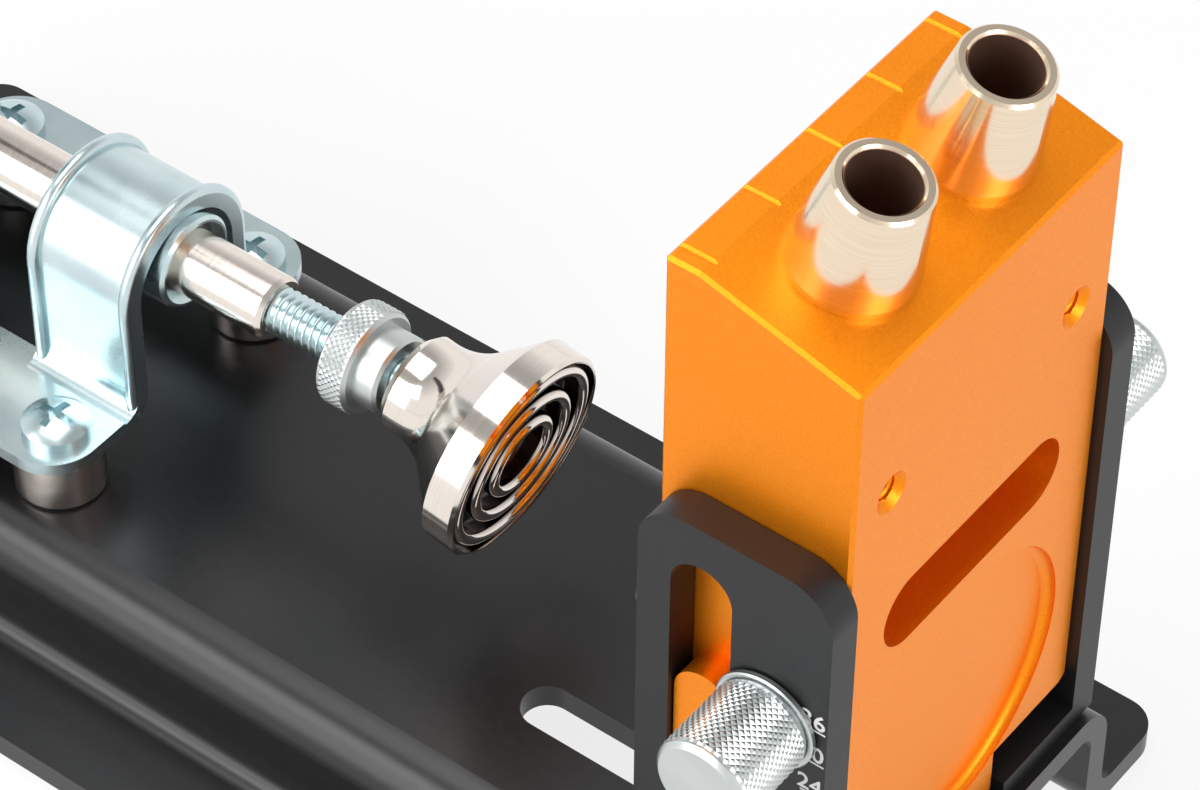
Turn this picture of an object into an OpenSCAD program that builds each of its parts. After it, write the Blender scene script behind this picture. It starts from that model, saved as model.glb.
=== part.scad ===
// Pocket hole jig: a folded base with a height-set drill guide block at the front
// and a push-pull toggle clamp at the rear. Millimetres, +Z up, +X towards the drill side.
// The guide block rises between two upright brackets. The clamp is drawn open.

/* [Base] */
// Length of the folded base along X
base_l = 222; // [200:1:260]
// Width over the two bench flanges
base_w = 103; // [96:1:140]
// Width over the two side walls
base_top_w = 71; // [69:1:80]
// Height of the top face above the bench
base_h = 23; // [21:0.5:40]
// Thickness of the folded sheet
sheet_t = 4; // [3:0.25:5]
// Inside radius of the folds
bend_r = 3; // [2:0.25:4]
// Corner radius of the bench flanges
flange_corner_r = 5; // [2:0.5:8]
// Width of the two fixing slots in the top face
fix_slot_w = 7.6; // [5:0.2:8.6]
// Overall length of the fixing slots
fix_slot_l = 30; // [14:1:34]
// Distance between the centre lines of the fixing slots
fix_slot_pitch = 26.2; // [22:0.2:32]
// Distance from the end of the fixing slots to the guide block
fix_slot_gap = 2.5; // [1.5:0.5:8]

/* [Guide block] */
// Width of the block across the base
block_w = 55.2; // [54:0.2:60]
// Depth of the block along the base
block_d = 28.3; // [27:0.1:32]
// Height of the block from its lower steps to its top
block_h = 104; // [102:0.5:120]
// Distance from the base's front edge to the block's front face
block_inset = 3; // [2:0.25:8]
// Height of the block's lower steps above the base at rest
block_rest = 9.8; // [9.3:0.1:14]
// Width of the tongue between the steps
tongue_w = 20.3; // [14:0.1:22]
// Height of the tongue's foot above the base at rest
tongue_clear = 2.3; // [2.3:0.1:4]
// Rounding of the block's lower corners
step_r = 2.5; // [1:0.25:4]
// Width of the flat strip along the rear top edge
strip_w = 5; // [3:0.25:6]
// Drilling angle from upright, which is also the slope of the top
drill_angle = 15; // [12:0.5:18]
// Small chamfer on the block's edges
edge_c = 0.5; // [0.2:0.1:0.8]
// Depth of the five alignment marks
mark_depth = 0.45; // [0.2:0.05:0.8]
// How far the block can rise from rest
rise = 20; // [10:0.5:20]
// How far the block can drop from rest
drop = 2; // [1:0.1:2]

/* [Chip window and front holes] */
// Height of the chip window in the front face
window_h = 11.2; // [6:0.2:14]
// Length of the chip window
window_l = 38.7; // [30:0.1:44]
// Distance of the window's centre line below the block's top
window_drop = 53.9; // [48:0.1:56]
// Wall left behind the chip window
window_wall = 6; // [4:0.5:9]
// Radius of the round seat in the front face
seat_r = 22.3; // [18:0.1:24]
// Depth of the round seat
seat_depth = 1.6; // [1:0.1:3]
// Distance of the seat's centre below the block's top
seat_drop = 84.1; // [83:0.1:87]
// Radius of the two tapped holes in the front face
tap_r = 2; // [1.5:0.1:2.5]
// Depth of the tapped holes
tap_depth = 8; // [6:0.5:12]
// Distance between the tapped holes
tap_pitch = 39.6; // [36:0.1:44]
// Distance of the tapped holes below the block's top
tap_drop = 28.4; // [24:0.2:34]

/* [Drill bushes] */
// Radius of the drill bore
bore_r = 4.75; // [4:0.05:5]
// Outer radius at the top of the bush
bush_top_r = 6.4; // [6:0.1:7]
// Outer radius where the bush meets the block
bush_foot_r = 8.6; // [7.5:0.1:9]
// Height of the bush above the sloped face
bush_h = 15.6; // [10:0.2:20]
// Radius of the shank pressed into the block
bush_shank_r = 6; // [5.6:0.1:6.4]
// Length of the shank
bush_shank_l = 22; // [15:0.5:26]
// Distance between the two bushes
bush_pitch = 25; // [22:0.2:28]
// Distance of the bush centres from the block's rear face
bush_setback = 15.9; // [15:0.1:17]
// Extra radius of the drill passage below the bush
passage_clear = 0.5; // [0.2:0.1:0.8]

/* [Uprights] */
// Width of an upright along the base
upright_w = 29.1; // [28:0.1:32]
// Thickness of an upright
upright_t = 5.2; // [4.6:0.1:6]
// Height of an upright above the base's top face
upright_h = 78; // [76:0.5:84]
// Step of the upright's rear edge in front of the block's rear face
upright_step = 0.7; // [0:0.1:1.4]
// Thickness of the bracket's foot
foot_t = 3.5; // [2.5:0.1:4]
// Gap between the foot and the block's tongue
foot_gap = 1; // [0.6:0.1:2]
// Radius of the upright's top corners
upright_r = 7; // [3:0.5:8]
// Running gap between the block and each upright
block_gap = 0.15; // [0.1:0.05:0.3]
// Width of the guide slot
guide_slot_w = 9.3; // [7:0.1:10]
// Distance of the guide slot's centre from the upright's rear edge
guide_slot_x = 9.7; // [8.5:0.1:10]
// Gap on each side of the block's key in the guide slot
key_gap = 0.25; // [0.15:0.05:0.4]
// How far the key stops short of the upright's outer face
key_short = 1; // [0.5:0.1:2]
// Height of the key on the block's side
key_h = 30; // [20:0.5:32]
// Distance of the key's top below the block's top
key_drop = 63; // [62.5:0.25:64]

/* [Thumbscrews] */
// Radius of the thumbscrew's thread
thumb_r = 3; // [2.5:0.1:3.2]
// Radius of the knurled head
thumb_head_r = 6.7; // [6:0.1:8]
// Length of the head with its collar
thumb_head_l = 14.5; // [10:0.5:18]
// Radius of the collar
thumb_collar_r = 7; // [6.8:0.1:9]
// Thickness of the collar
thumb_collar_t = 1.2; // [0.8:0.1:3]
// Distance of the thumbscrew from the upright's rear edge
thumb_x = 20.3; // [19.5:0.1:21]
// Height of the thumbscrew above the base's top face
thumb_z = 51.8; // [46:0.2:60]
// Distance of the spare tapped hole below the thumbscrew
spare_drop = 8.2; // [8:0.1:10]

/* [Toggle clamp] */
// Distance from the base's rear end to the front of the clamp
clamp_from_rear = 88; // [85:0.5:91]
// Height of the standoffs under the clamp
standoff_h = 8.2; // [5:0.2:14]
// Outer radius of the standoffs
standoff_r = 6.65; // [5:0.05:7]
// Thickness of the pressed clamp frame
frame_t = 2; // [1.5:0.1:2.4]
// Width of the strap over the plunger
strap_w = 19; // [16:0.5:22]
// Inside radius of the strap's crown
strap_r = 9.8; // [9.4:0.1:11]
// Height of the strap's turned-out lips
lip_h = 1.2; // [0.8:0.1:4]
// Half the width over the clamp's feet
clamp_half_w = 29; // [28:0.25:31]
// Length of the clamp's feet
foot_l = 61; // [58:0.5:66]
// Step from the strap's front face back to the front of the feet
foot_step = 0.3; // [0:0.1:5]
// Corner radius of the clamp's feet
foot_r = 7.5; // [4:0.25:8]
// Distance of the fixing screws from each end of the feet
screw_inset = 7; // [6.7:0.1:9]
// Distance of the fixing screws from the centre line
screw_y = 21.3; // [20.6:0.1:22]
// Radius of the fixing screws
screw_r = 2.5; // [2:0.05:2.6]
// Height of the plunger's axis above the clamp's feet
plunger_up = 21.5; // [20:0.5:26]
// Radius of the plunger
plunger_r = 4.8; // [4.6:0.05:5]
// Outer radius of the plunger's sleeve
sleeve_r = 7.2; // [6.6:0.1:7.6]
// How far the sleeve stands out in front of the strap
sleeve_out = 1.8; // [1:0.1:6]
// How far the plunger stands out in front of the sleeve when open
plunger_out = 15.4; // [10:0.2:20]
// Length of the handle's crank, which is also the link's length
crank_l = 20; // [19.5:0.1:20.5]
// Angle of the crank below the plunger's axis when open
open_angle = 60; // [58:0.5:61]
// Distance from the sleeve's rear end to the link's pin when open
link_pin_back = 28; // [27.5:0.5:32]
// Radius of the clamp's pivot pins
pin_r = 2.5; // [2:0.1:2.8]

/* [Pad] */
// Radius of the threaded stud
stud_r = 3.5; // [3:0.05:3.6]
// Length of the stud inside the plunger
stud_in = 20; // [18:0.5:22]
// Spare depth behind the stud for screwing it in
stud_spare = 10; // [6:0.5:10]
// Bare length of stud between the plunger and the thumb nut
stud_bare = 12.3; // [9:0.1:16]
// Radius of the thumb nut's knurled rim
nut_r = 8; // [7:0.1:10]
// Thickness of the knurled rim
nut_t = 5.2; // [3:0.1:6]
// Radius of the thumb nut's collar
nut_collar_r = 6; // [5:0.1:6.6]
// Length of the thumb nut's collar
nut_collar_l = 4; // [3:0.1:8]
// Radius of the pad's neck
pad_neck_r = 7.5; // [7:0.1:8.5]
// Radius of the pad's face
pad_r = 16; // [15:0.1:17]
// Overall length of the pad
pad_l = 20; // [19:0.1:24]
// Thickness of the pad's rim
pad_rim = 4.8; // [3.5:0.1:5.2]
// Depth of the grooves in the pad's face
pad_groove = 2; // [1:0.1:2.5]
// Radius of the stud's ball end, on which the pad tilts
ball_r = 5.3; // [5.2:0.05:5.6]
// Angle by which the free pad droops
pad_tilt = 9; // [0:0.5:11]

/* [Handle] */
// Angle of the open handle from the +X direction
handle_angle = 90; // [84:1:90]
// Distance from the handle's pivot to the foot of the grip
grip_start = 36; // [33:0.5:42]
// Length of the grip
grip_l = 96; // [80:1:110]
// Largest radius of the grip
grip_r = 10.5; // [9:0.1:12]

/* [Hidden] */
$fn = 64;

// Colours as seen on the object
BLACK = "#26262a";
ORANGE = "#ef8a12";
NICKEL = "#cfc6bb";
ZINC = "#d3dbdd";
GRIP = "#2b2b2d";

// Small working clearances
RUN = 0.05;
SEAT = 0.02;
FREE = 0.3;
OVER = 1;

// Base
wall_y = base_top_w / 2;
flange_y = base_w / 2;
fold_r = bend_r + sheet_t;
fix_slot_y = fix_slot_pitch / 2;

// Guide block
block_x1 = base_l / 2 - block_inset;
block_x0 = block_x1 - block_d;
block_z0 = base_h + block_rest;
block_z1 = block_z0 + block_h;
slope_drop = (block_d - strip_w) * tan(drill_angle);
front_z = block_z1 - slope_drop;
tongue_z0 = base_h + tongue_clear;
bush_z = block_z1 - (bush_setback - strip_w) * tan(drill_angle);
passage_r = bore_r + passage_clear;
window_z = block_z1 - window_drop;
seat_z = block_z1 - seat_drop;
tap_z = block_z1 - tap_drop;
mark_pitch = bush_pitch / 2;
mark_over = 0.6;

// Uprights
upright_x0 = block_x0 + upright_step;
upright_y0 = block_w / 2 + block_gap;
upright_y1 = upright_y0 + upright_t;
upright_z1 = base_h + upright_h;
upright_foot_y = tongue_w / 2 + foot_gap;
guide_x = upright_x0 + guide_slot_x;
key_w = guide_slot_w - 2 * key_gap;
key_z1 = block_z1 - key_drop;
key_z0 = key_z1 - key_h;
key_end_gap = 0.6;
foot_screw_r = 2;
foot_screw_head_r = 3.5;
foot_screw_head_h = 2.8;
foot_screw_y = (upright_foot_y + upright_y0) / 2;
foot_screw_inset = 7;

// Thumbscrews
thumb_axis_x = upright_x0 + thumb_x;
thumb_axis_z = base_h + thumb_z;
thumb_gap = 0.1;
thumb_end_c = 1.4;

// Clamp
feet_z0 = base_h + standoff_h;
feet_z1 = feet_z0 + frame_t;
axis_z = feet_z1 + plunger_up;
clamp_x = -base_l / 2 + clamp_from_rear;
feet_x1 = clamp_x - foot_step;
feet_x0 = feet_x1 - foot_l;
strap_x0 = clamp_x - strap_w;
crown_z = axis_z - (strap_r - sleeve_r - SEAT);
strap_out = strap_r + frame_t;
fold_fillet = 3;
ear_y0 = strap_r + 1.2;
ear_y1 = ear_y0 + frame_t;
screw_xs = [feet_x1 - screw_inset, feet_x0 + screw_inset];
screw_head_r = 2 * screw_r;
screw_head_h = 1.3 * screw_r;
nut_af = 3.2 * screw_r;
nut_h = 1.6 * screw_r;
sleeve_x1 = clamp_x + sleeve_out;
sleeve_x0 = strap_x0 - 1.5;
plunger_x1 = sleeve_x1 + plunger_out;
link_pin_x = sleeve_x0 - link_pin_back;
pivot_x = link_pin_x - 2 * crank_l * cos(open_angle);
crank_x = pivot_x + crank_l * cos(open_angle);
crank_z = axis_z - crank_l * sin(open_angle);
// Longest lead of the pin over a plunger that moves in step with the handle
stroke = 2 * crank_l * (1 - cos(open_angle));
lead_angle = asin(stroke / (2 * crank_l) / (open_angle * PI / 180));
pin_lead = 2 * crank_l * (cos(lead_angle) - cos(open_angle))
  - stroke * (open_angle - lead_angle) / open_angle;
plunger_x0 = link_pin_x - pin_r - FREE - 3.2;
link_t = 2.5;
link_y0 = plunger_r + 0.5;
link_y1 = link_y0 + link_t;
cheek_t = 2.2;
cheek_y0 = link_y1 + FREE;
cheek_y1 = cheek_y0 + cheek_t;
link_w = 13;
cheek_w = 15;
rivet_r = 1.7 * pin_r;
rivet_h = 1.6;

// Pad
stud_x0 = plunger_x1 - stud_in;
nut_x0 = plunger_x1 + stud_bare;
nut_x1 = nut_x0 + nut_t + nut_collar_l;
pad_gap = 1.5;
pad_x0 = nut_x1 + pad_gap;
ball_x = pad_x0 + 5.5;
mouth_r = stud_r + 1.45;
ridge_r = 1;

// Handle
tang_w = 11;
tang_t = 5;
tang_end = grip_start + 0.7 * grip_l;
shoulder_start = 17;

// Places children at one of the two drill bushes, with Z along the drill's axis
module at_bush(side) {
  translate([block_x0 + bush_setback, side * bush_pitch / 2, bush_z])
    rotate([0, drill_angle, 0])
      children();
}

// Runs an outline drawn in X and Z along Y, centred on the middle plane
module along_y(width) {
  translate([0, width / 2, 0])
    rotate([90, 0, 0])
      linear_extrude(width)
        children();
}

// Runs an outline drawn in Y and Z along X from x0
module along_x(x0, length) {
  translate([x0, 0, 0])
    rotate([90, 0, 90])
      linear_extrude(length)
        children();
}

// Places a turned piece, drawn upright, along +X from x0 on the plunger's axis
module turned_x(x0) {
  translate([x0, 0, axis_z])
    rotate([0, 90, 0])
      children();
}

// A round bar of outline: two round ends joined by a straight web
module bar2d(p, q, width) {
  d = q - p;
  translate(p)
    circle(d = width);
  translate(q)
    circle(d = width);
  translate(p)
    rotate(atan2(d[1], d[0]))
      translate([0, -width / 2])
        square([norm(d), width]);
}

// Cutter that rounds an outside corner whose point is at the origin, body towards -x, -y
module corner_cut(r) {
  difference() {
    translate([-r, -r])
      square([r + OVER, r + OVER]);
    translate([-r, -r])
      circle(r);
  }
}

// One half of the folded section, on the +Y side
module base_half_section() {
  top = base_h;
  difference() {
    union() {
      translate([0, top - sheet_t])
        square([wall_y, sheet_t]);
      translate([wall_y - sheet_t, 0])
        square([sheet_t, top]);
      translate([wall_y - sheet_t, 0])
        square([flange_y - wall_y + sheet_t, sheet_t]);
      translate([wall_y - fold_r, top - fold_r])
        square([fold_r, fold_r]);
      translate([wall_y - sheet_t, 0])
        square([fold_r, fold_r]);
    }
    translate([wall_y, top])
      corner_cut(fold_r);
    translate([wall_y - sheet_t, 0])
      rotate(180)
        corner_cut(fold_r);
    translate([wall_y - fold_r, top - fold_r])
      circle(bend_r);
    translate([wall_y - fold_r - OVER, top - fold_r - OVER])
      square([OVER, OVER + bend_r]);
    translate([wall_y - fold_r - OVER, top - fold_r - OVER])
      square([OVER + bend_r, OVER]);
    translate([wall_y + bend_r, fold_r])
      circle(bend_r);
    translate([wall_y + bend_r, sheet_t])
      square([fold_r, fold_r]);
    translate([wall_y, fold_r])
      square([fold_r + bend_r, fold_r]);
  }
}

module base_plate() {
  slot_x1 = block_x0 - fix_slot_gap - fix_slot_w / 2;
  slot_x0 = slot_x1 - fix_slot_l + fix_slot_w;
  color(BLACK)
    difference() {
      along_x(-base_l / 2, base_l) {
        base_half_section();
        mirror([1, 0])
          base_half_section();
      }
      for (x = [-1, 1], y = [-1, 1])
        translate([0, 0, -OVER])
          linear_extrude(sheet_t + 2 * OVER)
            mirror([x < 0 ? 1 : 0, 0])
              mirror([0, y < 0 ? 1 : 0])
                translate([base_l / 2, flange_y])
                  corner_cut(flange_corner_r);
      for (y = [-1, 1])
        translate([0, 0, base_h - sheet_t - OVER])
          linear_extrude(sheet_t + 2 * OVER)
            bar2d([slot_x0, y * fix_slot_y], [slot_x1, y * fix_slot_y], fix_slot_w);
      for (x = screw_xs, y = [-screw_y, screw_y])
        translate([x, y, base_h - sheet_t - OVER])
          cylinder(r = screw_r + RUN, h = sheet_t + 2 * OVER);
      for (x = [foot_screw_inset, upright_w - foot_screw_inset], y = [-foot_screw_y, foot_screw_y])
        translate([upright_x0 + x, y, base_h - sheet_t - OVER])
          cylinder(r = foot_screw_r + RUN, h = sheet_t + 2 * OVER);
    }
}

// Outline of an upright in X and Z
module upright_outline() {
  difference() {
    translate([upright_x0, base_h])
      square([upright_w, upright_h]);
    translate([upright_x0 + upright_w, upright_z1])
      corner_cut(upright_r);
    translate([upright_x0, upright_z1])
      mirror([1, 0])
        corner_cut(upright_r);
    bar2d(
      [guide_x, key_z0 - drop - key_end_gap + guide_slot_w / 2],
      [guide_x, key_z1 + rise + key_end_gap - guide_slot_w / 2],
      guide_slot_w
    );
  }
}

// The bracket on the far side; the near one is its mirror image
module upright() {
  difference() {
    union() {
      translate([0, upright_y1 / 2 + upright_y0 / 2, 0])
        along_y(upright_t)
          upright_outline();
      translate([upright_x0, upright_foot_y, base_h])
        cube([upright_w, upright_y1 - upright_foot_y, foot_t]);
    }
    for (z = [thumb_axis_z, thumb_axis_z - spare_drop])
      translate([thumb_axis_x, upright_y0 - OVER, z])
        rotate([-90, 0, 0])
          cylinder(r = thumb_r + RUN, h = upright_t + 2 * OVER);
    for (x = [foot_screw_inset, upright_w - foot_screw_inset])
      translate([upright_x0 + x, foot_screw_y, base_h - OVER])
        cylinder(r = foot_screw_r + SEAT, h = foot_t + 2 * OVER);
  }
}

module upright_far() {
  color(BLACK)
    upright();
}

module upright_near() {
  color(BLACK)
    mirror([0, 1, 0])
      upright();
}

// Flat-head screws from below, two in each bracket foot
module upright_screws() {
  color(BLACK)
    for (x = [foot_screw_inset, upright_w - foot_screw_inset], y = [-foot_screw_y, foot_screw_y])
      translate([upright_x0 + x, y, base_h - sheet_t - foot_screw_head_h])
        difference() {
          union() {
            cylinder(r = foot_screw_head_r, h = foot_screw_head_h);
            cylinder(r = foot_screw_r, h = foot_screw_head_h + sheet_t + foot_t);
          }
          translate([0, 0, -OVER])
            cylinder(r = foot_screw_r * 0.7, h = OVER + foot_screw_head_h / 2, $fn = 6);
        }
}

// Side view of the block in X and Z, with its sloped top
module block_side() {
  c = edge_c;
  polygon([
    [block_x0, tongue_z0],
    [block_x1, tongue_z0],
    [block_x1, front_z - c],
    [block_x1 - c * cos(drill_angle), front_z + c * sin(drill_angle)],
    [block_x0 + strip_w, block_z1],
    [block_x0 + c, block_z1],
    [block_x0, block_z1 - c]
  ]);
}

// Front view of the block in Y and Z, with the steps beside the tongue
module block_front() {
  difference() {
    translate([-block_w / 2, block_z0])
      square([block_w, block_h]);
    for (m = [0, 1])
      mirror([m, 0])
        translate([block_w / 2, block_z0])
          mirror([0, 1])
            corner_cut(step_r);
  }
  translate([-tongue_w / 2, tongue_z0])
    square([tongue_w, block_h / 2]);
}

// Plan of the block in X and Y, with chamfered upright edges
module block_plan() {
  c = edge_c;
  half = block_w / 2;
  polygon([
    [block_x0 + c, -half], [block_x1 - c, -half], [block_x1, -half + c], [block_x1, half - c],
    [block_x1 - c, half], [block_x0 + c, half], [block_x0, half - c], [block_x0, -half + c]
  ]);
}

// Chamfers along the two side edges of the strip and of the slope
module top_edge_cuts() {
  reach = 2 * block_d;
  depth = 4 * edge_c;
  for (m = [0, 1])
    mirror([0, m, 0])
      translate([block_x0 + strip_w, block_w / 2, block_z1]) {
        rotate([45, 0, 0])
          translate([-reach, -edge_c / sqrt(2), -depth])
            cube([reach, depth, 2 * depth]);
        rotate([0, drill_angle, 0])
          rotate([45, 0, 0])
            translate([0, -edge_c / sqrt(2), -depth])
              cube([reach, depth, 2 * depth]);
      }
}

// A key on the block's side that runs in the upright's slot
module block_keys() {
  length = block_gap + upright_t - key_short;
  for (m = [0, 1])
    mirror([0, m, 0])
      translate([0, block_w / 2 + length / 2 - SEAT, 0])
        along_y(length + 2 * SEAT)
          bar2d([guide_x, key_z0 + key_w / 2], [guide_x, key_z1 - key_w / 2], key_w);
}

module guide_block() {
  mark_side = mark_depth * sqrt(2);
  color(ORANGE)
    difference() {
      union() {
        intersection() {
          along_y(block_w + 2 * OVER)
            block_side();
          along_x(block_x0 - OVER, block_d + 2 * OVER)
            block_front();
          translate([0, 0, tongue_z0 - OVER])
            linear_extrude(block_h + 2 * block_rest)
              block_plan();
        }
        block_keys();
      }
      top_edge_cuts();
      for (side = [-1, 1])
        at_bush(side) {
          translate([0, 0, -bush_shank_l - RUN])
            cylinder(r = bush_shank_r + SEAT, h = bush_shank_l + bush_h);
          translate([0, 0, -block_h])
            cylinder(r = passage_r, h = block_h);
        }
      along_x(block_x0 + window_wall, block_d)
        bar2d(
          [-window_l / 2 + window_h / 2, window_z],
          [window_l / 2 - window_h / 2, window_z],
          window_h
        );
      translate([block_x1 - seat_depth, 0, seat_z])
        rotate([0, 90, 0])
          cylinder(r = seat_r, h = seat_depth + OVER);
      for (y = [-tap_pitch / 2, tap_pitch / 2])
        translate([block_x1 - tap_depth, y, tap_z])
          rotate([0, 90, 0]) {
            cylinder(r = tap_r, h = tap_depth + OVER);
            translate([0, 0, tap_depth - tap_r / 2])
              cylinder(r1 = tap_r, r2 = 1.5 * tap_r, h = tap_r / 2 + 0.001);
          }
      for (i = [-2:2])
        translate([block_x0 - OVER, i * mark_pitch, block_z1])
          rotate([45, 0, 0])
            translate([0, -mark_side / 2, -mark_side / 2])
              cube([OVER + strip_w + mark_over, mark_side, mark_side]);
    }
}

// A hardened bush: a tapered nose above the slope and a plain shank below
module drill_bush() {
  rim = 0.4;
  rotate_extrude()
    polygon([
      [bore_r, -bush_shank_l], [bush_shank_r, -bush_shank_l], [bush_shank_r, SEAT],
      [bush_foot_r, SEAT], [bush_foot_r, 1], [bush_top_r, bush_h - rim],
      [bush_top_r - rim, bush_h], [bore_r + rim, bush_h], [bore_r, bush_h - rim]
    ]);
}

module drill_bush_near() {
  color(NICKEL)
    at_bush(-1)
      drill_bush();
}

module drill_bush_far() {
  color(NICKEL)
    at_bush(1)
      drill_bush();
}

// A thumbscrew drawn along +Z from the upright's outer face
module thumbscrew() {
  shank = upright_t + block_gap - FREE;
  edge = 0.5;
  rotate_extrude()
    polygon([
      [0, -shank], [thumb_r - edge, -shank], [thumb_r, -shank + edge], [thumb_r, thumb_gap],
      [thumb_collar_r, thumb_gap], [thumb_collar_r, thumb_collar_t],
      [thumb_head_r, thumb_collar_t + edge], [thumb_head_r, thumb_head_l - thumb_end_c],
      [thumb_head_r - thumb_end_c / 2, thumb_head_l], [0, thumb_head_l]
    ]);
}

module thumbscrew_far() {
  color(ZINC)
    translate([thumb_axis_x, upright_y1, thumb_axis_z])
      rotate([-90, 0, 0])
        thumbscrew();
}

module thumbscrew_near() {
  color(ZINC)
    translate([thumb_axis_x, -upright_y1, thumb_axis_z])
      rotate([90, 0, 0])
        thumbscrew();
}

module clamp_standoffs() {
  edge = 0.5;
  color(NICKEL)
    for (x = screw_xs, y = [-screw_y, screw_y])
      translate([x, y, base_h])
        rotate_extrude()
          polygon([
            [screw_r + RUN, 0], [standoff_r - edge, 0], [standoff_r, edge],
            [standoff_r, standoff_h - edge], [standoff_r - edge, standoff_h], [screw_r + RUN, standoff_h]
          ]);
}

// Half of the strap's section in Y and Z with its fold into the foot, on the +Y side
module strap_half_section(out) {
  difference() {
    union() {
      translate([0, crown_z])
        intersection() {
          circle(out);
          square([out, out]);
        }
      translate([0, feet_z0])
        square([out, crown_z - feet_z0]);
      translate([strap_r, feet_z1])
        square([out - strap_r + fold_fillet, fold_fillet]);
    }
    translate([0, crown_z])
      circle(strap_r);
    translate([-OVER, feet_z0 - OVER])
      square([strap_r + OVER, crown_z - feet_z0 + OVER]);
    translate([out + fold_fillet, feet_z1 + fold_fillet])
      circle(fold_fillet);
    translate([strap_r, feet_z0])
      rotate(180)
        corner_cut(fold_fillet + frame_t);
  }
}

// Half of the strap with its lips, on the +Y side
module strap_half() {
  along_x(strap_x0, strap_w)
    strap_half_section(strap_out);
  for (x = [strap_x0 + frame_t / 2, clamp_x - frame_t / 2]) {
    translate([x, 0, crown_z])
      rotate([0, -90, 0])
        rotate_extrude(angle = 90)
          translate([strap_out - frame_t / 2, 0])
            lip_section();
    translate([x, strap_out - frame_t / 2, feet_z1])
      linear_extrude(crown_z - feet_z1)
        rotate(90)
          lip_section();
  }
}

// Section through a turned-out lip, with a round edge, standing out along +x
module lip_section() {
  translate([0, -frame_t / 2])
    square([lip_h, frame_t]);
  translate([lip_h, 0])
    circle(frame_t / 2);
}

// Plan of one foot in X and Y, on the +Y side
module foot_plan() {
  difference() {
    translate([feet_x0, strap_out])
      square([foot_l, clamp_half_w - strap_out]);
    translate([feet_x1, clamp_half_w])
      corner_cut(foot_r);
    translate([feet_x0, clamp_half_w])
      mirror([1, 0])
        corner_cut(foot_r);
  }
  translate([feet_x0, ear_y0])
    square([strap_x0 - feet_x0, strap_out - ear_y0 + SEAT]);
}

// Outline in X and Z of the ear that carries the handle's pivot
module ear_outline() {
  ear_r = 7.5;
  front = strap_x0 - 16;
  difference() {
    union() {
      translate([pivot_x, axis_z])
        circle(ear_r);
      polygon([
        [feet_x0 + 1, feet_z0], [front, feet_z0], [front, feet_z1 + 3],
        [pivot_x + ear_r * cos(35), axis_z + ear_r * sin(35)],
        [pivot_x - ear_r, axis_z]
      ]);
    }
    translate([pivot_x, axis_z])
      circle(pin_r + SEAT);
  }
}

module clamp_frame_half() {
  difference() {
    union() {
      strap_half();
      translate([0, 0, feet_z0])
        linear_extrude(frame_t)
          foot_plan();
      translate([0, ear_y0 + frame_t / 2, 0])
        along_y(frame_t)
          ear_outline();
    }
    for (x = screw_xs)
      translate([x, screw_y, feet_z0 - OVER])
        cylinder(r = screw_r + RUN, h = frame_t + 2 * OVER);
  }
}

module clamp_frame() {
  color(ZINC) {
    clamp_frame_half();
    mirror([0, 1, 0])
      clamp_frame_half();
  }
}

// Cross-recess pan-head screws through the feet, the standoffs and the base
module clamp_screws() {
  length = frame_t + standoff_h + sheet_t + nut_h + 1.5;
  cross_w = 0.5 * screw_r;
  cross_l = 2.2 * screw_r;
  color(ZINC)
    for (x = screw_xs, y = [-screw_y, screw_y])
      translate([x, y, feet_z1])
        difference() {
          union() {
            translate([0, 0, -length])
              cylinder(r = screw_r, h = length + SEAT);
            rotate_extrude()
              intersection() {
                translate([0, screw_head_h - 1.6 * screw_head_r])
                  circle(1.6 * screw_head_r);
                square([screw_head_r, screw_head_h]);
              }
          }
          for (a = [0, 90])
            rotate([0, 0, a])
              translate([-cross_l / 2, -cross_w / 2, screw_head_h / 2])
                cube([cross_l, cross_w, screw_head_h]);
        }
}

module clamp_nuts() {
  color(ZINC)
    for (x = screw_xs, y = [-screw_y, screw_y])
      translate([x, y, base_h - sheet_t - nut_h])
        difference() {
          cylinder(d = nut_af / cos(30), h = nut_h, $fn = 6);
          translate([0, 0, -OVER])
            cylinder(r = screw_r + RUN, h = nut_h + 2 * OVER);
        }
}

// Sleeve with a wide countersunk mouth in front
module plunger_sleeve() {
  edge = 0.5;
  mouth = 1.5;
  l = sleeve_x1 - sleeve_x0;
  color(ZINC)
    turned_x(sleeve_x0)
      rotate_extrude()
        polygon([
          [plunger_r + RUN, 0], [sleeve_r, 0], [sleeve_r, l - edge],
          [sleeve_r - edge, l], [plunger_r + RUN + mouth, l], [plunger_r + RUN, l - mouth]
        ]);
}

// The plunger: stud bore in front, and behind it a cross slot for the link's pin
module plunger() {
  edge = 0.8;
  l = plunger_x1 - plunger_x0;
  bore = stud_in + stud_spare;
  slot_r = pin_r + FREE;
  color(NICKEL)
    difference() {
      turned_x(plunger_x0)
        rotate_extrude()
          polygon([
            [0, 0], [plunger_r - edge, 0], [plunger_r, edge], [plunger_r, l - edge],
            [plunger_r - edge / 2, l], [stud_r + RUN, l],
            [stud_r + RUN, l - bore], [0, l - bore]
          ]);
      along_y(4 * plunger_r)
        bar2d([link_pin_x, axis_z], [link_pin_x + pin_lead, axis_z], 2 * slot_r);
    }
}

// Threaded stud with a ball end inside the pad
module pad_stud() {
  edge = 0.6;
  l = ball_x - stud_x0;
  color(ZINC)
    turned_x(stud_x0)
      rotate_extrude()
        intersection() {
          union() {
            polygon([[0, 0], [stud_r - edge, 0], [stud_r, edge], [stud_r, l], [0, l]]);
            translate([0, l])
              circle(ball_r);
          }
          square([2 * ball_r, l + 2 * ball_r]);
        }
}

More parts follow.
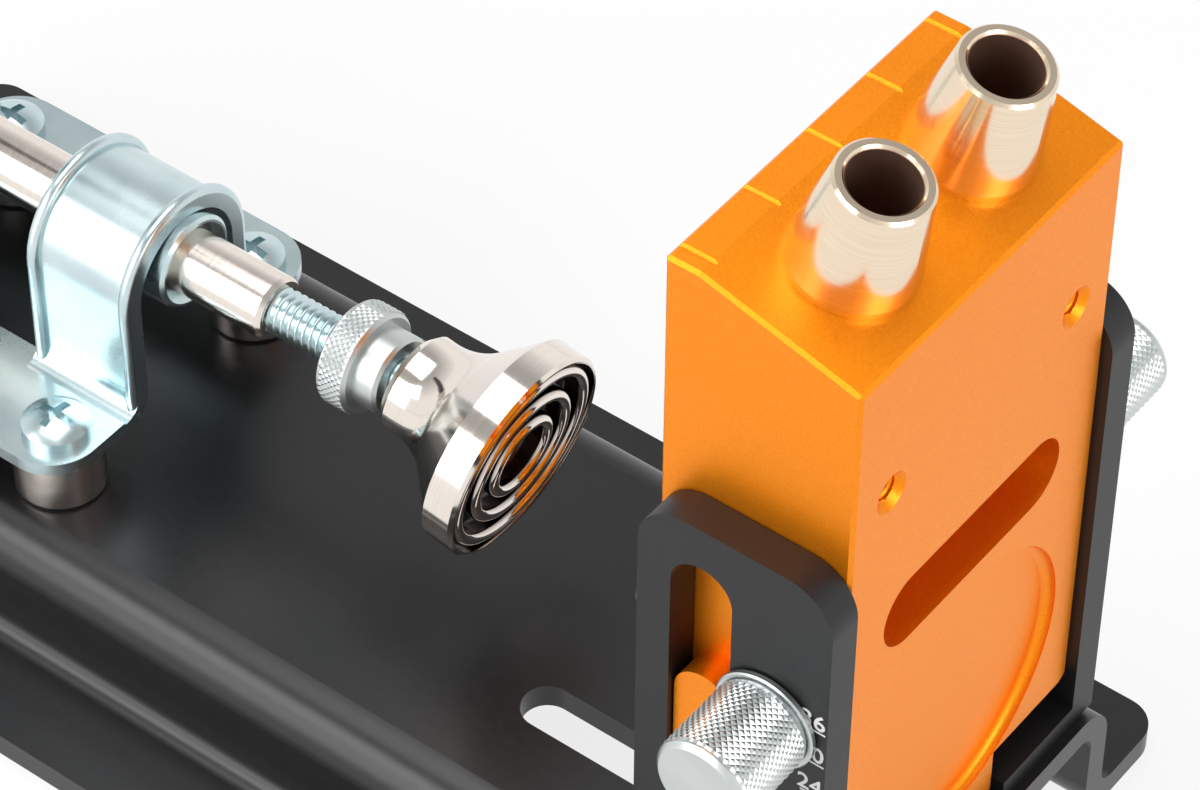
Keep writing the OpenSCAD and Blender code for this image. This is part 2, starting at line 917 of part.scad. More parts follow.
// Thumb nut with a knurled rim and a plain collar towards the pad
module thumb_nut() {
  edge = 0.5;
  l = nut_t + nut_collar_l;
  color(ZINC)
    turned_x(nut_x0)
      rotate_extrude()
        polygon([
          [stud_r + RUN, 0], [nut_r - edge, 0], [nut_r, edge], [nut_r, nut_t - edge],
          [nut_r - edge, nut_t], [nut_collar_r, nut_t], [nut_collar_r, l - edge],
          [nut_collar_r - edge, l], [stud_r + RUN, l]
        ]);
}

// Half section of the pad: a neck, a hollow flare and a face with round concentric ridges
module pad_section() {
  edge = 1.2;
  sweep = 45;
  flare_r = pad_l / 2;
  flare_h = pad_r - pad_neck_r;
  flare_l = flare_h + flare_r * (sin(sweep) + cos(sweep) - 1);
  rim_z = pad_l - pad_rim;
  neck_l = rim_z - flare_l;
  rim_edge = 0.5;
  lip = 0.8;
  difference() {
    polygon([
      [0, 0], [pad_neck_r - edge, 0], [pad_neck_r, edge], [pad_neck_r, neck_l],
      [pad_neck_r + flare_r * (1 - cos(sweep)), neck_l + flare_r * sin(sweep)],
      [pad_r, rim_z], [pad_r, pad_l - rim_edge], [pad_r - rim_edge, pad_l], [0, pad_l]
    ]);
    translate([pad_neck_r + flare_r, neck_l])
      circle(flare_r);
    translate([0, pad_l - pad_groove])
      square([pad_r - lip, pad_groove + OVER]);
    translate([0, ball_x - pad_x0])
      circle(ball_r + RUN);
    translate([0, -OVER])
      square([mouth_r, ball_x - pad_x0 + OVER]);
  }
  for (i = [0:2])
    translate([pad_r * (0.36 + 0.245 * i), pad_l - ridge_r]) {
      circle(ridge_r);
      translate([-ridge_r, -pad_groove])
        square([2 * ridge_r, pad_groove]);
    }
}

// Turned pad, drooping on the stud's ball
module clamp_pad() {
  color(NICKEL)
    translate([ball_x, 0, axis_z])
      rotate([0, 90 + pad_tilt, 0])
        translate([0, 0, pad_x0 - ball_x])
          rotate_extrude()
            intersection() {
              pad_section();
              square([2 * pad_r, 2 * pad_l]);
            }
}

// Direction of the open handle in X and Z
function along_handle(d) = [pivot_x + d * cos(handle_angle), axis_z + d * sin(handle_angle)];

// Places children with Z along the open handle, from its pivot
module at_handle() {
  translate([pivot_x, 0, axis_z])
    rotate([0, 90 - handle_angle, 0])
      children();
}

// One cheek of the lever in X and Z: crank arm and handle arm on one pivot
module cheek_outline() {
  difference() {
    union() {
      bar2d([pivot_x, axis_z], [crank_x, crank_z], cheek_w);
      bar2d([pivot_x, axis_z], along_handle(grip_start - cheek_w / 2), cheek_w);
    }
    translate([pivot_x, axis_z])
      circle(pin_r + RUN);
    translate([crank_x, crank_z])
      circle(pin_r + SEAT);
  }
}

// Pressed lever: two cheeks, a folded back between them and a tang for the grip
module handle_lever() {
  shoulder_l = grip_start - shoulder_start;
  color(ZINC)
    union() {
      for (m = [0, 1])
        mirror([0, m, 0])
          translate([0, (cheek_y0 + cheek_y1) / 2, 0])
            along_y(cheek_t)
              cheek_outline();
      at_handle() {
        translate([-cheek_w / 2, -cheek_y0 - SEAT, shoulder_start])
          cube([cheek_t, 2 * cheek_y0 + 2 * SEAT, shoulder_l]);
        translate([-cheek_w / 2, -cheek_y0 - SEAT, grip_start - cheek_t])
          cube([cheek_w, 2 * cheek_y0 + 2 * SEAT, cheek_t]);
        translate([-tang_w / 2, -tang_t / 2, grip_start - cheek_t])
          cube([tang_w, tang_t, tang_end - grip_start + cheek_t]);
      }
    }
}

// Moulded grip: a flared foot, a waist, a full belly and a round end
module handle_grip() {
  waist = 0.82;
  color(GRIP)
    at_handle()
      translate([0, 0, grip_start])
        difference() {
          rotate_extrude()
            intersection() {
              polygon([
                [0, 0], [grip_r - 0.8, 0], [grip_r, 0.8], [grip_r, 3],
                for (t = [0:0.05:1])
                  [grip_r * (waist + (1 - waist) * pow(abs(2 * t - 0.55) / 1.45, 2)), 6 + t * (grip_l - 6)],
                [0, grip_l]
              ]);
              union() {
                square([grip_r + OVER, grip_l - grip_r]);
                translate([0, grip_l - grip_r])
                  circle(grip_r);
              }
            }
          translate([-tang_w / 2 - SEAT, -tang_t / 2 - SEAT, -OVER])
            cube([tang_w + 2 * SEAT, tang_t + 2 * SEAT, tang_end - grip_start + OVER + SEAT]);
        }
}

// A headed pin across the middle plane; its heads lie outside the given half length
module cross_pin(x, z, half) {
  translate([x, 0, z])
    rotate([90, 0, 0]) {
      translate([0, 0, -half])
        cylinder(r = pin_r, h = 2 * half);
      for (m = [0, 1])
        mirror([0, 0, m])
          translate([0, 0, half])
            rotate_extrude()
              intersection() {
                translate([0, rivet_h - 1.8 * rivet_r])
                  circle(1.8 * rivet_r);
                square([rivet_r, rivet_h]);
              }
    }
}

module handle_pivot_pin() {
  color(ZINC)
    cross_pin(pivot_x, axis_z, ear_y1 + SEAT);
}

// A plain pin flush with the lever's cheeks, so that it passes inside the ears
module crank_pin() {
  color(ZINC)
    translate([crank_x, cheek_y1, crank_z])
      rotate([90, 0, 0])
        cylinder(r = pin_r, h = 2 * cheek_y1);
}

// A plain pin flush with the links
module link_pin() {
  color(ZINC)
    translate([link_pin_x, link_y1, axis_z])
      rotate([90, 0, 0])
        cylinder(r = pin_r, h = 2 * link_y1);
}

// The link on the +Y side, from the crank's pin to the plunger's pin
module link() {
  translate([0, (link_y0 + link_y1) / 2, 0])
    along_y(link_t)
      difference() {
        bar2d([crank_x, crank_z], [link_pin_x, axis_z], link_w);
        translate([crank_x, crank_z])
          circle(pin_r + RUN);
        translate([link_pin_x, axis_z])
          circle(pin_r + SEAT);
      }
}

module link_far() {
  color(ZINC)
    link();
}

module link_near() {
  color(ZINC)
    mirror([0, 1, 0])
      link();
}

base_plate();
upright_near();
upright_far();
upright_screws();
guide_block();
drill_bush_near();
drill_bush_far();
thumbscrew_near();
thumbscrew_far();
clamp_standoffs();
clamp_frame();
clamp_screws();
clamp_nuts();
plunger_sleeve();
plunger();
pad_stud();
thumb_nut();
clamp_pad();
handle_lever();
handle_grip();
handle_pivot_pin();
crank_pin();
link_near();
link_far();
link_pin();
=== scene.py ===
"""Looks of the pocket hole jig: finishes, knurling, threads, scale figures, light and camera."""
import math

import bpy
from mathutils import Matrix, Vector


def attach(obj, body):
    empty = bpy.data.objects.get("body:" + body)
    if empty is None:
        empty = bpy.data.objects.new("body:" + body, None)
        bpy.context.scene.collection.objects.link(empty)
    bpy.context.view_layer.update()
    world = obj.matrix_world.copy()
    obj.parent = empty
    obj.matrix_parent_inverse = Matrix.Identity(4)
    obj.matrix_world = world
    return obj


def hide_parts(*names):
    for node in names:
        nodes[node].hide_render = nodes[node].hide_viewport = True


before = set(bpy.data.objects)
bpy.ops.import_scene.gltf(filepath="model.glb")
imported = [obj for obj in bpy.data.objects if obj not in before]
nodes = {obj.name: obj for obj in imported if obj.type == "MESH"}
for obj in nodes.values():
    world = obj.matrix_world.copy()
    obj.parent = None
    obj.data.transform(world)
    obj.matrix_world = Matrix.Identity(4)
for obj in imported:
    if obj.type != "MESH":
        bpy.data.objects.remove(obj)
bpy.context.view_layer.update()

MM = 0.001
WELD = 0.002 * MM      # points nearer than this become one
NEARLY = 0.05 * MM     # heights nearer than this count as equal

# Places and sizes that the CAD gives, in mm and degrees
SIDES = (("near", -1), ("far", 1))
PLUNGER_Z = 54.7
PAD_BALL, PAD_DROOP = (22.7, 0, PLUNGER_Z), 9
GROOVE_FLOOR, PAD_FACE = 12.5, 14.5     # from the ball, along the pad's axis
GROOVE_RIM = 15.25                      # radius around all the grooves
BUSH_X, BUSH_Y, BUSH_Z, BUSH_LEAN, BUSH_BORE_R = 95.6, 12.5, 133.88, 15, 4.75
THUMB_X, THUMB_Z, FACE_Y = 100.7, 74.8, 32.95
NUT_X, STUD_X = 6.5, -25.8
TAPPED_X, TAPPED_Y, TAPPED_Z = 100.2, 19.8, 108.4
SEAT_X, SEAT_Z, SEAT_R = 106.4, 52.7, 22.3

# The Mix node's sockets share names, so they go by number: two inputs and the output
COLOUR_A, COLOUR_B, COLOUR_OUT = 6, 7, 2
VALUE_A, VALUE_B, VALUE_OUT = 2, 3, 0


# Colour and shader helpers

def rgb(code):
    """An sRGB hex code as the linear colour a shader wants."""
    parts = [int(code[i:i + 2], 16) / 255 for i in (1, 3, 5)]
    return [c / 12.92 if c <= 0.04045 else ((c + 0.055) / 1.055) ** 2.4 for c in parts] + [1.0]


def fill(tree, node, inputs):
    """Gives a node's inputs, by name or number, a link from a socket or a plain value."""
    for key, value in inputs.items():
        if isinstance(value, bpy.types.NodeSocket):
            tree.links.new(value, node.inputs[key])
        else:
            node.inputs[key].default_value = value


def add(tree, kind, inputs, out=0, **settings):
    """Adds one shader node with its settings and inputs, and returns one of its outputs."""
    made = tree.nodes.new(kind)
    for name, value in settings.items():
        setattr(made, name, value)
    fill(tree, made, inputs)
    return made.outputs[out]


def grain(tree, cell_mm, stretch=(1, 1, 1), detail=2.0, lean=0.0):
    """Noise with a grain of about cell_mm, in the object's own frame turned about Y by lean degrees."""
    place = add(tree, "ShaderNodeTexCoord", {}, "Object")
    level = add(tree, "ShaderNodeVectorRotate", {"Vector": place, "Angle": math.radians(-lean)},
                rotation_type="Y_AXIS")
    scaled = add(tree, "ShaderNodeMapping", {"Vector": level, "Scale": stretch})
    return add(tree, "ShaderNodeTexNoise",
               {"Vector": scaled, "Scale": 1 / (cell_mm * MM), "Detail": detail}, "Fac")


def from_axis(tree, hub, lean):
    """Distances along and away from an axis through hub, which leans about Y from +Z, in metres."""
    axis = (math.sin(math.radians(lean)), 0, math.cos(math.radians(lean)))
    place = add(tree, "ShaderNodeTexCoord", {}, "Object")
    offset = add(tree, "ShaderNodeVectorMath", {0: place, 1: [c * MM for c in hub]}, operation="SUBTRACT")
    along = add(tree, "ShaderNodeVectorMath", {0: offset, 1: axis}, "Value", operation="DOT_PRODUCT")
    aside = add(tree, "ShaderNodeVectorMath", {0: offset, 1: axis}, operation="CROSS_PRODUCT")
    return along, add(tree, "ShaderNodeVectorMath", {0: aside}, "Value", operation="LENGTH")


def mask_of(tree, *bands):
    """A product of ramps. Each has a source in metres, and the places in mm where it is 0 and where it is 1."""
    mask = 1.0
    for source, start, end in bands:
        share = add(tree, "ShaderNodeMapRange", {"Value": source, "From Min": start * MM, "From Max": end * MM})
        mask = add(tree, "ShaderNodeMath", {0: mask, 1: share}, operation="MULTIPLY")
    return mask


# Finishes

def finish(name, dark, light, rough, depth_mm, cell_mm, look, relief_cell_mm=None, **pattern):
    """A material whose colour and roughness follow one grain, with a fine relief.

    dark and light are sRGB codes, rough is the range of roughness, and look holds other inputs of the
    shader. The relief follows the same grain unless it has a cell of its own.
    """
    mat = bpy.data.materials.new(name)
    mat.use_nodes = True
    tree = mat.node_tree
    fine = grain(tree, cell_mm, **pattern)
    colour = rgb(dark) if dark == light else add(
        tree, "ShaderNodeMix", {"Factor": fine, COLOUR_A: rgb(dark), COLOUR_B: rgb(light)}, COLOUR_OUT,
        data_type="RGBA")
    grade = add(tree, "ShaderNodeMapRange", {"Value": fine, "To Min": rough[0], "To Max": rough[1]})
    height = grain(tree, relief_cell_mm) if relief_cell_mm else fine
    relief = add(tree, "ShaderNodeBump", {"Height": height, "Strength": 1.0, "Distance": depth_mm * MM})
    fill(tree, tree.nodes["Principled BSDF"],
         {"Base Color": colour, "Roughness": grade, "Normal": relief, **look})
    return mat


# Recolours a masked part: the pad's painted groove shade and reflection, and the bush's browner bore
def recolour(mat, mask, code, rough):
    """Gives the part of a material where the mask is 1 another colour and roughness."""
    tree = mat.node_tree
    shader = tree.nodes["Principled BSDF"]
    colour, grade = (shader.inputs[key].links[0].from_socket for key in ("Base Color", "Roughness"))
    recoloured = add(tree, "ShaderNodeMix", {"Factor": mask, COLOUR_A: colour, COLOUR_B: rgb(code)}, COLOUR_OUT,
                  data_type="RGBA")
    graded = add(tree, "ShaderNodeMix", {"Factor": mask, VALUE_A: grade, VALUE_B: rough}, VALUE_OUT,
                 data_type="FLOAT")
    fill(tree, shader, {"Base Color": recoloured, "Roughness": graded})
    return mat


def clear_zinc(name, low, high, rough):
    """Clear-passivated zinc plate: blue-white, slightly cloudy."""
    return finish(name, low, high, rough, depth_mm=0.003, cell_mm=9.0, look={"Metallic": 1.0},
                  relief_cell_mm=0.5, detail=3.0)


def turned_nickel(name, axis, rough, low="#E4D9CF", high="#F0E8E0", lean=0.0):
    """Polished nickel plate with faint turning lines around the given axis, which may lean about Y.

    The lines are drawn 0.25 mm apart, coarser than a real cut, so that they show.
    """
    stretch = [0.02, 0.02, 0.02]
    stretch[axis] = 1.0
    return finish(name, low, high, rough, depth_mm=0.0008, cell_mm=0.25, look={"Metallic": 1.0},
                  stretch=stretch, lean=lean)


def pad_nickel(name):
    """Turned nickel of the pad, which droops, with painted shade and a painted dark reflection low in its
    face's grooves.
    """
    mat = turned_nickel(name, 0, (0.06, 0.14), lean=PAD_DROOP)
    along, out = from_axis(mat.node_tree, PAD_BALL, 90 + PAD_DROOP)
    # The dark brown low in the grooves is painted shade and a painted reflection of the shaded block and base
    groove_shade = mask_of(mat.node_tree,
                      (along, GROOVE_FLOOR - 0.2, GROOVE_FLOOR - 0.05),
                      (along, PAD_FACE - 0.2, PAD_FACE - 1.1),
                      (out, GROOVE_RIM, GROOVE_RIM - 0.1))
    return recolour(mat, groove_shade, "#30231C", 0.1)


def bush_nickel(name, sign):
    """Turned nickel of a drill bush, browner and rougher in its bore."""
    mat = turned_nickel(name, 2, (0.1, 0.2), "#E6D0B4", "#F4E4CC", BUSH_LEAN)
    out = from_axis(mat.node_tree, (BUSH_X, sign * BUSH_Y, BUSH_Z), BUSH_LEAN)[1]
    bore = mask_of(mat.node_tree, (out, BUSH_BORE_R + 0.15, BUSH_BORE_R + 0.05))
    return recolour(mat, bore, "#A88672", 0.5)


def plain(name, code, rough, metallic=0.0):
    """An even finish with a light grain."""
    return finish(name, code, code, (rough - 0.05, rough + 0.05), depth_mm=0.01, cell_mm=0.6,
                  look={"Metallic": metallic})


# Bead-blasted aluminium, anodised orange: a fine matt sparkle under a clear colour. The grain is drawn
# coarser than a real blast, so that it shows.
ORANGE = finish("orange_anodised_aluminium", "#EC7C00", "#FF9C02", (0.4, 0.5), depth_mm=0.035, cell_mm=0.35,
                look={"Metallic": 0.86, "Coat Weight": 0.14, "Coat Roughness": 0.3})
# Satin black powder coat on folded steel, with a faint orange peel
POWDER = finish("black_powder_coat", "#101012", "#161618", (0.28, 0.36), depth_mm=0.015, cell_mm=1.2,
                look={"Specular IOR Level": 0.55})
# Matt black anodised aluminium of the machined uprights, with a grain drawn coarse enough to show
ANODISE = finish("black_anodised_upright", "#0F0F11", "#171719", (0.42, 0.52), depth_mm=0.012, cell_mm=0.4,
                 look={"Specular IOR Level": 0.42})
ZINC = clear_zinc("clear_zinc_plate", "#B6CDD3", "#DCE9EA", (0.2, 0.32))
KNURL = clear_zinc("knurled_zinc", "#BCC2C2", "#D6DAD9", (0.3, 0.4))
BUSH_NEAR, BUSH_FAR = (bush_nickel("nickel_bush_" + side, sign) for side, sign in SIDES)
NICKEL_PAD = pad_nickel("nickel_pad")
NICKEL_ROD = turned_nickel("nickel_rod", 0, (0.12, 0.22))
STANDOFF = turned_nickel("nickel_standoff", 2, (0.2, 0.3))
GRIP = plain("moulded_black_grip", "#232325", 0.55)
SCREW = plain("black_oxide_screw", "#1D1D1F", 0.45, 0.6)
FIGURES = plain("white_scale_figures", "#DADADA", 0.6)

FINISH = {
    "guide_block": ORANGE,
    "base_plate": POWDER,
    "upright_near": ANODISE, "upright_far": ANODISE,
    "upright_screws": SCREW,
    "drill_bush_near": BUSH_NEAR, "drill_bush_far": BUSH_FAR,
    "clamp_standoffs": STANDOFF,
    "clamp_frame": ZINC, "clamp_screws": ZINC, "clamp_nuts": ZINC, "plunger_sleeve": ZINC,
    "plunger": NICKEL_ROD, "clamp_pad": NICKEL_PAD,
    "handle_lever": ZINC, "handle_grip": GRIP, "handle_pivot_pin": ZINC, "crank_pin": ZINC,
    "link_near": ZINC, "link_far": ZINC, "link_pin": ZINC,
    "thumbscrew_near": KNURL, "thumbscrew_far": KNURL, "thumb_nut": KNURL, "pad_stud": ZINC,
}


def paint(obj, mat):
    """Puts one material on an object."""
    obj.data.materials.clear()
    obj.data.materials.append(mat)


for name, mat in FINISH.items():
    paint(nodes[name], mat)


# Modelling helpers

def choose(*objs):
    """Selects only these objects, and makes the first one active."""
    bpy.ops.object.select_all(action="DESELECT")
    for obj in objs:
        obj.select_set(True)
    bpy.context.view_layer.objects.active = objs[0]


def fresh(operator, name, **settings):
    """Adds a primitive while nothing else is selected."""
    bpy.ops.object.select_all(action="DESELECT")
    operator(**settings)
    obj = bpy.context.object
    obj.name = name
    return obj


def edit(obj):
    """Opens an object for editing with nothing selected."""
    choose(obj)
    bpy.ops.object.mode_set(mode="EDIT")
    bpy.ops.mesh.select_mode(type="VERT")
    bpy.ops.mesh.select_all(action="DESELECT")


def pick(obj, kind, test):
    """Selects the edges or polygons that pass a test; the object stays in edit mode."""
    bpy.ops.mesh.select_mode(type={"edges": "EDGE", "polygons": "FACE"}[kind])
    bpy.ops.mesh.select_all(action="DESELECT")
    bpy.ops.object.mode_set(mode="OBJECT")
    for item in getattr(obj.data, kind):
        item.select = test(item)
    bpy.ops.object.mode_set(mode="EDIT")


def done():
    """Closes edit mode and returns the finished object."""
    bpy.ops.object.mode_set(mode="OBJECT")
    return bpy.context.object


def sealed():
    """Merges what meets, turns the faces outwards and closes edit mode."""
    bpy.ops.mesh.select_all(action="SELECT")
    bpy.ops.mesh.remove_doubles(threshold=WELD)
    bpy.ops.mesh.normals_make_consistent(inside=False)
    return done()


def join(objs, name):
    """Makes one object of several."""
    choose(*objs)
    bpy.ops.object.join()
    made = bpy.context.object
    made.name = name
    return made


def drawn(profile, name):
    """A line through pairs of radius and height in mm, in the XZ plane; it stays in edit mode."""
    obj = fresh(bpy.ops.mesh.primitive_plane_add, name, size=1)
    edit(obj)
    bpy.ops.mesh.select_all(action="SELECT")
    bpy.ops.mesh.merge(type="CENTER")
    bpy.ops.transform.translate(value=(profile[0][0] * MM, 0, profile[0][1] * MM))
    for a, b in zip(profile, profile[1:]):
        move = ((b[0] - a[0]) * MM, 0, (b[1] - a[1]) * MM)
        bpy.ops.mesh.extrude_region_move(TRANSFORM_OT_translate={"value": move})
    return obj


def turned(profile, name, steps=64):
    """A turned piece: a profile of radius and height pairs in mm, spun about Z."""
    drawn(profile, name)
    bpy.ops.mesh.select_all(action="SELECT")
    bpy.ops.mesh.spin(steps=steps, angle=2 * math.pi, center=(0, 0, 0), axis=(0, 0, 1))
    return sealed()


def knurled_band(name, radius, z0, z1, cells, rows, height):
    """A band of diamond knurling about Z, in mm: a grid turned into diamonds, each poked to a point."""
    obj = fresh(bpy.ops.mesh.primitive_cylinder_add, name, vertices=cells, radius=radius * MM,
                depth=(z1 - z0) * MM, end_fill_type="NOTHING", location=(0, 0, (z0 + z1) / 2 * MM))
    bpy.ops.object.transform_apply(location=True)

    def heights(edge):
        return [obj.data.vertices[v].co.z for v in edge.vertices]

    def on_rim(edge):
        return all(min(abs(z - z0 * MM), abs(z - z1 * MM)) < NEARLY for z in heights(edge))

    edit(obj)
    pick(obj, "edges", lambda e: max(heights(e)) - min(heights(e)) > NEARLY)
    bpy.ops.mesh.subdivide(number_cuts=rows - 1)
    bpy.ops.mesh.select_all(action="SELECT")
    bpy.ops.mesh.mark_seam(clear=False)
    bpy.ops.mesh.poke(offset=0)
    pick(obj, "edges", lambda e: e.use_seam and not on_rim(e))
    bpy.ops.mesh.dissolve_edges(use_verts=False)
    bpy.ops.mesh.select_all(action="SELECT")
    bpy.ops.mesh.normals_make_consistent(inside=False)
    pick(obj, "polygons", lambda f: len(f.vertices) == 4)
    bpy.ops.mesh.poke(offset=height * MM)
    return done()


# One tooth of a thread, as shares of its height and of the pitch: root, flank, crest, flank
TOOTH = ((0, 0), (0, 0.12), (1, 0.48), (1, 0.6), (0, 1))
THREAD_STEPS = 40


def thread(name, crest, root, pitch, turns):
    """A thread about Z from z = 0, in mm: outside where the crest is further out than the root, else inside."""
    obj = drawn([(root + (crest - root) * out, pitch * along) for out, along in TOOTH], name)
    done()
    sweep = obj.modifiers.new("sweep", "SCREW")
    sweep.axis = "Z"
    sweep.steps = THREAD_STEPS
    sweep.render_steps = THREAD_STEPS
    sweep.screw_offset = pitch * MM
    sweep.iterations = turns
    sweep.use_merge_vertices = True
    sweep.merge_threshold = WELD
    bpy.ops.object.modifier_apply(modifier="sweep")
    edit(obj)
    return sealed()


ALONG_X = Matrix.Rotation(math.pi / 2, 4, "Y")  # turns a piece made along +Z


def stand(obj, turn, place):
    """Turns a finished piece and puts it in place, in its mesh, with the object at the origin."""
    obj.data.transform(Matrix.Translation([c * MM for c in place]) @ turn)
    obj.data.update()
    return obj


def put(obj, mat, body, replaced=(), degrees=35):
    """Finishes a piece: material, smooth shading up to an angle, its body and the nodes it stands for."""
    paint(obj, mat)
    choose(obj)
    bpy.ops.object.shade_smooth_by_angle(angle=math.radians(degrees))
    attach(obj, body)
    if replaced:
        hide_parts(*replaced)


# Thumbscrews: a shank with a plain collar, a diamond-knurled head and a plain chamfered end

THUMB_COLLAR = [(0, -5.05), (2.5, -5.05), (3, -4.55), (3, 0.1), (7.1, 0.1), (7.4, 0.35), (7.4, 0.95),
                (7.2, 1.15), (6.5, 1.15), (6.5, 1.6)]
THUMB_END = [(6.5, 13.4), (6.7, 13.5), (6.7, 13.8), (6.3, 14.3), (6.0, 14.5), (0, 14.5)]


def thumbscrew(name):
    """One thumbscrew along +Z from the upright's outer face."""
    collar = turned(THUMB_COLLAR, name + "_collar")
    end = turned(THUMB_END, name + "_end")
    band = knurled_band(name + "_band", radius=6.7, z0=1.4, z1=13.6, cells=40, rows=11, height=0.2)
    return join([collar, end, band], name)


for side, sign in SIDES:
    screw = thumbscrew("thumbscrew_" + side + "_knurled")
    stand(screw, Matrix.Rotation(-sign * math.pi / 2, 4, "X"), (THUMB_X, sign * FACE_Y, THUMB_Z))
    put(screw, KNURL, "thumb_" + side, ["thumbscrew_" + side], 28)


# Thumb nut: a knurled rim and a plain collar towards the pad

NUT_BACK = [(3.55, 9.2), (3.55, 0), (7.2, 0), (7.72, 0.55)]
NUT_FRONT = [(7.72, 4.65), (7.2, 5.2), (6, 5.2), (6, 8.7), (5.5, 9.2), (3.55, 9.2)]
rim = knurled_band("nut_rim", radius=7.75, z0=0.5, z1=4.7, cells=48, rows=4, height=0.22)
nut = join([rim, turned(NUT_BACK, "nut_back"), turned(NUT_FRONT, "nut_front")], "thumb_nut_knurled")
stand(nut, ALONG_X, (NUT_X, 0, PLUNGER_Z))
put(nut, KNURL, "nut", ["thumb_nut"], 28)


# Stud: a core that ends in the pad's ball, and its thread

CORE_R, BALL_R, BALL_AT, BALL_STEPS = 2.85, 5.3, 48.5, 14
neck = math.asin(CORE_R / BALL_R)
arc = [neck + (math.pi - neck) * i / BALL_STEPS for i in range(BALL_STEPS)]
ball = [(BALL_R * math.sin(t), BALL_AT - BALL_R * math.cos(t)) for t in arc] + [(0, BALL_AT + BALL_R)]
core = turned([(0, 0), (CORE_R, 0)] + ball, "stud_core", 40)
stud = join([core, thread("stud_thread", crest=3.5, root=CORE_R, pitch=1.25, turns=34)], "pad_stud_threaded")
stand(stud, ALONG_X, (STUD_X, 0, PLUNGER_Z))
put(stud, ZINC, "spindle", ["pad_stud"], 40)


# Threads of the two tapped holes in the block's front face

tapped = []
for y in (-TAPPED_Y, TAPPED_Y):
    hole = thread("tapped_hole", crest=1.68, root=2.02, pitch=0.7, turns=9)
    tapped.append(stand(hole, ALONG_X, (TAPPED_X, y, TAPPED_Z)))
put(join(tapped, "tapped_threads"), ORANGE, "guide", (), 40)


# Corner radius at the bottom of the round seat in the block's front face, just clear of its floor

CORNER_R, CORNER_GAP = 1.3, 0.01
quarter = [math.radians(15 * i) for i in range(7)]
corner = [(SEAT_R - CORNER_R * (1 - math.sin(a)), CORNER_R * (1 - math.cos(a))) for a in quarter]
fillet = turned(corner, "seat_corner", 96)
stand(fillet, ALONG_X, (SEAT_X + CORNER_GAP, 0, SEAT_Z))
put(fillet, ORANGE, "guide", (), 60)


# Height scale on the outer face of each upright: figures with an underline that runs to the edge

SCALE = (("36", 77), ("30", 71), ("24", 65), ("18", 59), ("12", 53))  # each figure and its line's height
PRINT = 0.02                            # half the thickness of the print
FIGURE_SIZE, FIGURE_LIFT = 3.8, 0.45    # the figures stand this far above their line
LINE_LENGTH, LINE_WIDTH = 3.3, 0.28


def figure(text, name):
    """A raised figure lying in X and Y, its lower left corner at the origin."""
    obj = fresh(bpy.ops.object.text_add, name)
    obj.data.body = text
    obj.data.size = FIGURE_SIZE * MM
    obj.data.extrude = PRINT * MM
    obj.data.offset = 0.05 * MM
    obj.data.resolution_u = 3
    bpy.ops.object.convert(target="MESH")
    return bpy.context.object


def stroke(name):
    """A thin raised line along +X from the origin."""
    obj = fresh(bpy.ops.mesh.primitive_cube_add, name, size=1, location=(LINE_LENGTH / 2 * MM, 0, 0),
                scale=(LINE_LENGTH * MM, LINE_WIDTH * MM, 2 * PRINT * MM))
    bpy.ops.object.transform_apply(location=True, scale=True)
    return obj


upright = Matrix.Rotation(math.pi / 2, 4, "X")
turned_round = Matrix.Rotation(math.pi, 4, "Z") @ upright
for (side, sign), flip, figure_x, line_x in zip(SIDES, (upright, turned_round), (105.4, 109.2), (105.9, 109.2)):
    marks = []
    face = sign * (FACE_Y + PRINT)
    for text, height in SCALE:
        label = figure(text, "figure_" + text)
        line = stroke("line_" + text)
        stand(label, flip, (figure_x, face, height + FIGURE_LIFT))
        stand(line, flip, (line_x, face, height))
        marks += [label, line]
    put(join(marks, "scale_" + side), FIGURES, "base")


# Stage: pale floor, soft studio light and the photograph's camera

def seen_rays(tree):
    """1 for the rays that show the background: the camera's, and those off metal or through glass."""
    path = add(tree, "ShaderNodeLightPath", {}).node.outputs
    shiny = add(tree, "ShaderNodeMath", {0: path["Is Glossy Ray"], 1: path["Is Transmission Ray"]},
                operation="MAXIMUM")
    return add(tree, "ShaderNodeMath", {0: path["Is Camera Ray"], 1: shiny}, operation="MAXIMUM")


# The floor's material keeps the object's shadow under an even white
floor_mat = bpy.data.materials.new("pale_floor")
floor_mat.use_nodes = True
floor_tree = floor_mat.node_tree
matt = floor_tree.nodes["Principled BSDF"]
fill(floor_tree, matt, {"Base Color": rgb("#F4F4F4"), "Roughness": 0.9})
glow = add(floor_tree, "ShaderNodeEmission", {"Color": (1, 1, 1, 1), "Strength": 1.0})
share = add(floor_tree, "ShaderNodeMapRange", {"Value": seen_rays(floor_tree), "To Min": 0, "To Max": 0.82})
mixed = add(floor_tree, "ShaderNodeMixShader", {0: share, 1: matt.outputs[0], 2: glow})
fill(floor_tree, floor_tree.nodes["Material Output"], {"Surface": mixed})
floor = fresh(bpy.ops.mesh.primitive_plane_add, "floor", size=6, location=(0, 0, -0.2 * MM))
paint(floor, floor_mat)

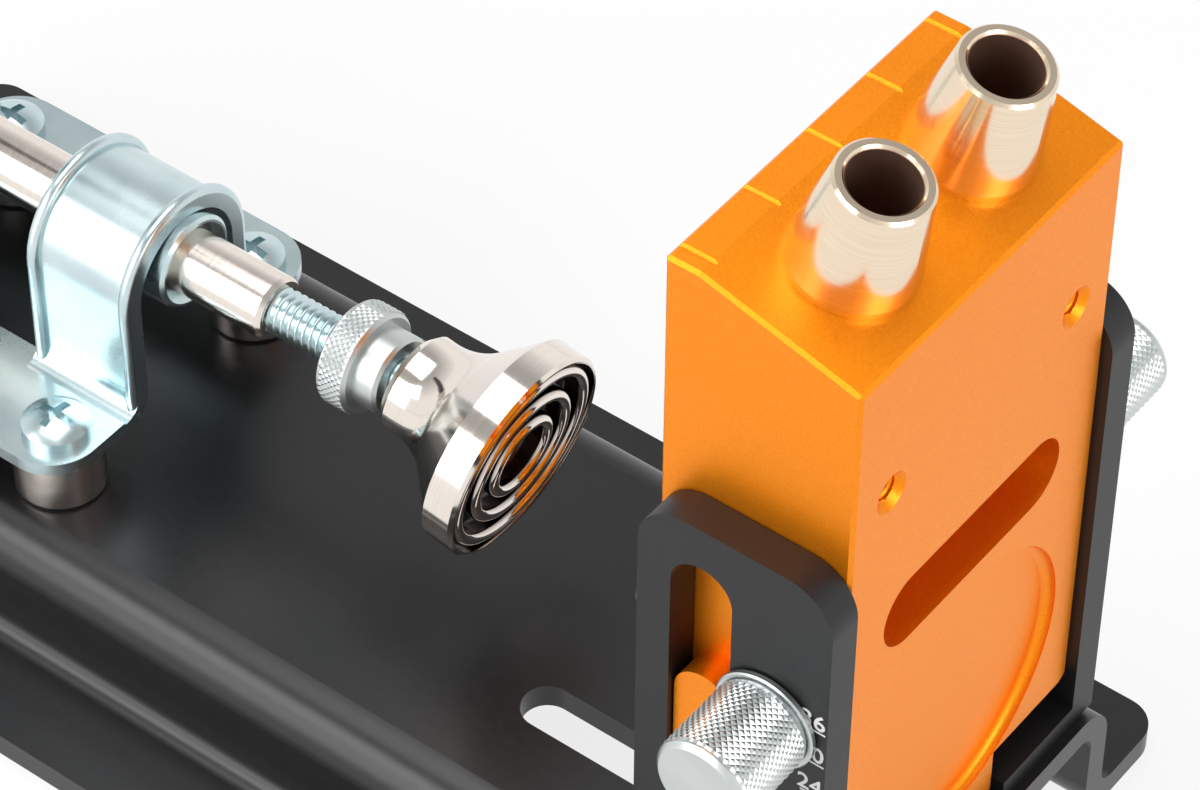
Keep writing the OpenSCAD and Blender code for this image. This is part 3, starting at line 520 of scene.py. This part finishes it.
# The world is white where it is seen, and dimmer towards the ceiling, which level faces mirror
world = bpy.data.worlds.new("studio")
bpy.context.scene.world = world
world.use_nodes = True
sky = world.node_tree
way = add(sky, "ShaderNodeTexCoord", {}, "Generated")
climb = add(sky, "ShaderNodeSeparateXYZ", {"Vector": way}, "Z")
ceiling = add(sky, "ShaderNodeMapRange",
              {"Value": climb, "From Min": 0.35, "From Max": 0.8, "To Min": 1.0, "To Max": 0.45})
shown = add(sky, "ShaderNodeMapRange", {"Value": seen_rays(sky), "To Min": 0.5, "To Max": 1.0})
strength = add(sky, "ShaderNodeMath", {0: shown, 1: ceiling}, operation="MULTIPLY")
fill(sky, sky.nodes["Background"], {"Color": (1, 1, 1, 1), "Strength": strength})


def softbox(name, place, target, size, power):
    """A square area light that faces a target, in metres and watts."""
    lamp = bpy.data.lights.new(name, "AREA")
    lamp.size = size
    lamp.energy = power
    obj = bpy.data.objects.new(name, lamp)
    bpy.context.scene.collection.objects.link(obj)
    obj.location = place
    obj.rotation_euler = (Vector(place) - Vector(target)).to_track_quat("Z", "Y").to_euler()


softbox("top_softbox", (-0.12, 0.0, 0.95), (0.05, 0, 0.08), 0.7, 4.5)
softbox("near_softbox", (-0.12, -0.95, 0.65), (0.02, 0, 0.08), 0.5, 4.2)
softbox("low_softbox", (-0.35, -0.95, 0.14), (0.06, 0, 0.07), 0.5, 2.0)
softbox("left_softbox", (-0.6, -0.75, 0.7), (-0.05, 0, 0.03), 0.45, 2.8)
softbox("front_softbox", (1.0, -0.1, 0.5), (0.08, 0, 0.09), 0.5, 4.5)

# The camera was fitted to the photograph: its axes and place in the shared frame
lens = bpy.data.cameras.new("camera")
lens.sensor_fit = "HORIZONTAL"
lens.sensor_width = 36
lens.lens = 146.92
lens.clip_start = 0.01
camera = bpy.data.objects.new("camera", lens)
bpy.context.scene.collection.objects.link(camera)
right = (0.7951349, 0.60640699, 0.00557283)
up = (-0.43658171, 0.56602965, 0.69929025)
behind = (0.42090011, -0.55846307, 0.71481613)
spot = (0.31976, -0.35836, 0.53125)
camera.matrix_world = Matrix([[right[i], up[i], behind[i], spot[i]] for i in range(3)] + [[0, 0, 0, 1]])
bpy.context.scene.camera = camera
bpy.context.scene.view_settings.view_transform = "Standard"
